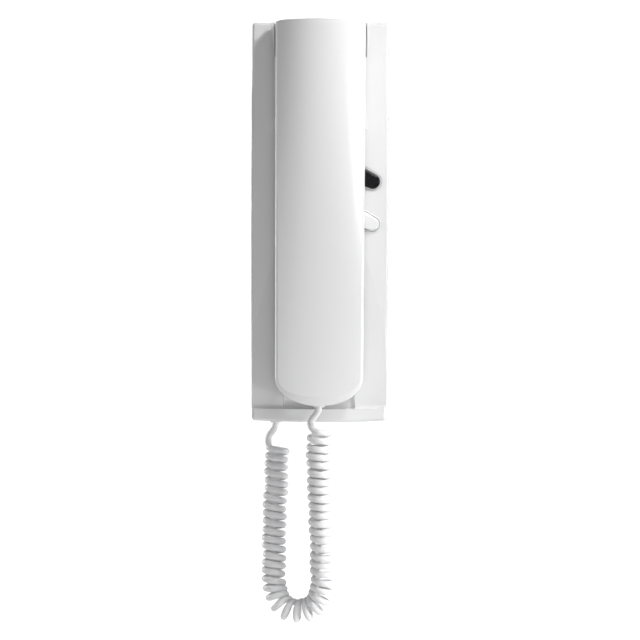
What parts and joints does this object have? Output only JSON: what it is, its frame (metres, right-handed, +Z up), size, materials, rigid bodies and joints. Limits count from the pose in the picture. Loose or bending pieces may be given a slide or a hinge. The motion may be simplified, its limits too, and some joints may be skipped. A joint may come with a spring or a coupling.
{
  "type": "wall phone",
  "caption": "Slim wall phone: half-pipe handset hanging on a flat wall unit, oval push buttons beside it, curly cord looping below.",
  "frame": {"origin": "centre of the wall unit's rear face, which lies on the wall", "axes": "+Y into the wall, +X to the right as seen by a user, +Z up"},
  "size_m": [0.0768, 0.0496, 0.3336],
  "materials": {
    "white_abs": "glossy moulded shell",
    "white_button": "glossy moulded key",
    "black_button": "glossy moulded key",
    "bezel_grey": "satin moulded ring",
    "plate_abs": "fine texture",
    "lever_plastic": "smooth acetal",
    "board_laminate": "green solder mask",
    "terminal_plastic": "blue nylon",
    "part_black": "black epoxy",
    "switch_plastic": "black nylon",
    "capacitor_sleeve": "dark sleeve",
    "transformer": "wound core",
    "screw_steel": "zinc plated",
    "spring_steel": "spring wire",
    "ballast_steel": "plain steel",
    "capsule_metal": "drawn can",
    "soft_rubber": "soft black",
    "foam": "closed foam",
    "white_rubber": "white elastomer",
    "wire_sleeve": "inner lead",
    "cord_white": "flexible jacket"
  },
  "bodies": {
    "base": {"back_plate": "plate_abs", "base_cover": "white_abs", "cover_screws": "screw_steel", "main_board": "board_laminate", "board_screws": "screw_steel", "terminal_block": "terminal_plastic", "terminal_screws": "screw_steel", "capacitors": "capacitor_sleeve", "line_transformer": "transformer", "speech_chip": "part_black", "call_sounder": "part_black", "sounder_gasket": "foam", "hook_bracket": "plate_abs", "hook_pin": "screw_steel", "hook_spring": "spring_steel", "hook_microswitch": "switch_plastic", "door_button_bezel": "bezel_grey", "door_button_spring": "spring_steel", "door_button_switch": "switch_plastic", "call_button_bezel": "white_abs", "call_button_spring": "spring_steel", "call_button_switch": "switch_plastic", "cord_grommet": "white_rubber", "base_lead": "wire_sleeve", "lead_header": "switch_plastic", "coil_base_side": "cord_white", "cord_base_tail": "cord_white"},
    "hook_lever": {"hook_lever": "lever_plastic"},
    "door_button": {"door_button": "black_button"},
    "call_button": {"call_button": "white_button"},
    "handset": {"handset_front": "white_abs", "handset_back": "white_abs", "handset_screws": "screw_steel", "earpiece_gasket": "foam", "earpiece_capsule": "capsule_metal", "microphone_boot": "soft_rubber", "microphone_capsule": "capsule_metal", "ballast_weight": "ballast_steel", "handset_relief": "white_rubber", "handset_lead": "wire_sleeve", "coil_handset_side": "cord_white", "cord_handset_tail": "cord_white"}
  },
  "joints": [
    {"name": "handset_lift", "type": "slide", "parent": "base", "child": "handset", "axis": [0, -0.866, 0.5], "range_m": [0, 0.04]},
    {"name": "hook_lever_turn", "type": "hinge", "parent": "base", "child": "hook_lever", "pos_m": [0, -0.0132, -0.006], "axis": [1, 0, 0], "range_deg": [0, 7.5]},
    {"name": "door_button_press", "type": "slide", "parent": "base", "child": "door_button", "axis": [0, 1, 0], "range_m": [0, 0.0015], "stiffness_N_per_m": 400, "deforming": ["door_button_spring"]},
    {"name": "call_button_press", "type": "slide", "parent": "base", "child": "call_button", "axis": [0, 1, 0], "range_m": [0, 0.0015], "stiffness_N_per_m": 400, "deforming": ["call_button_spring"]}
  ],
  "couplings": [
    {"joint": "hook_lever_turn", "follows": "handset_lift", "rad_per_m": 3}
  ]
}
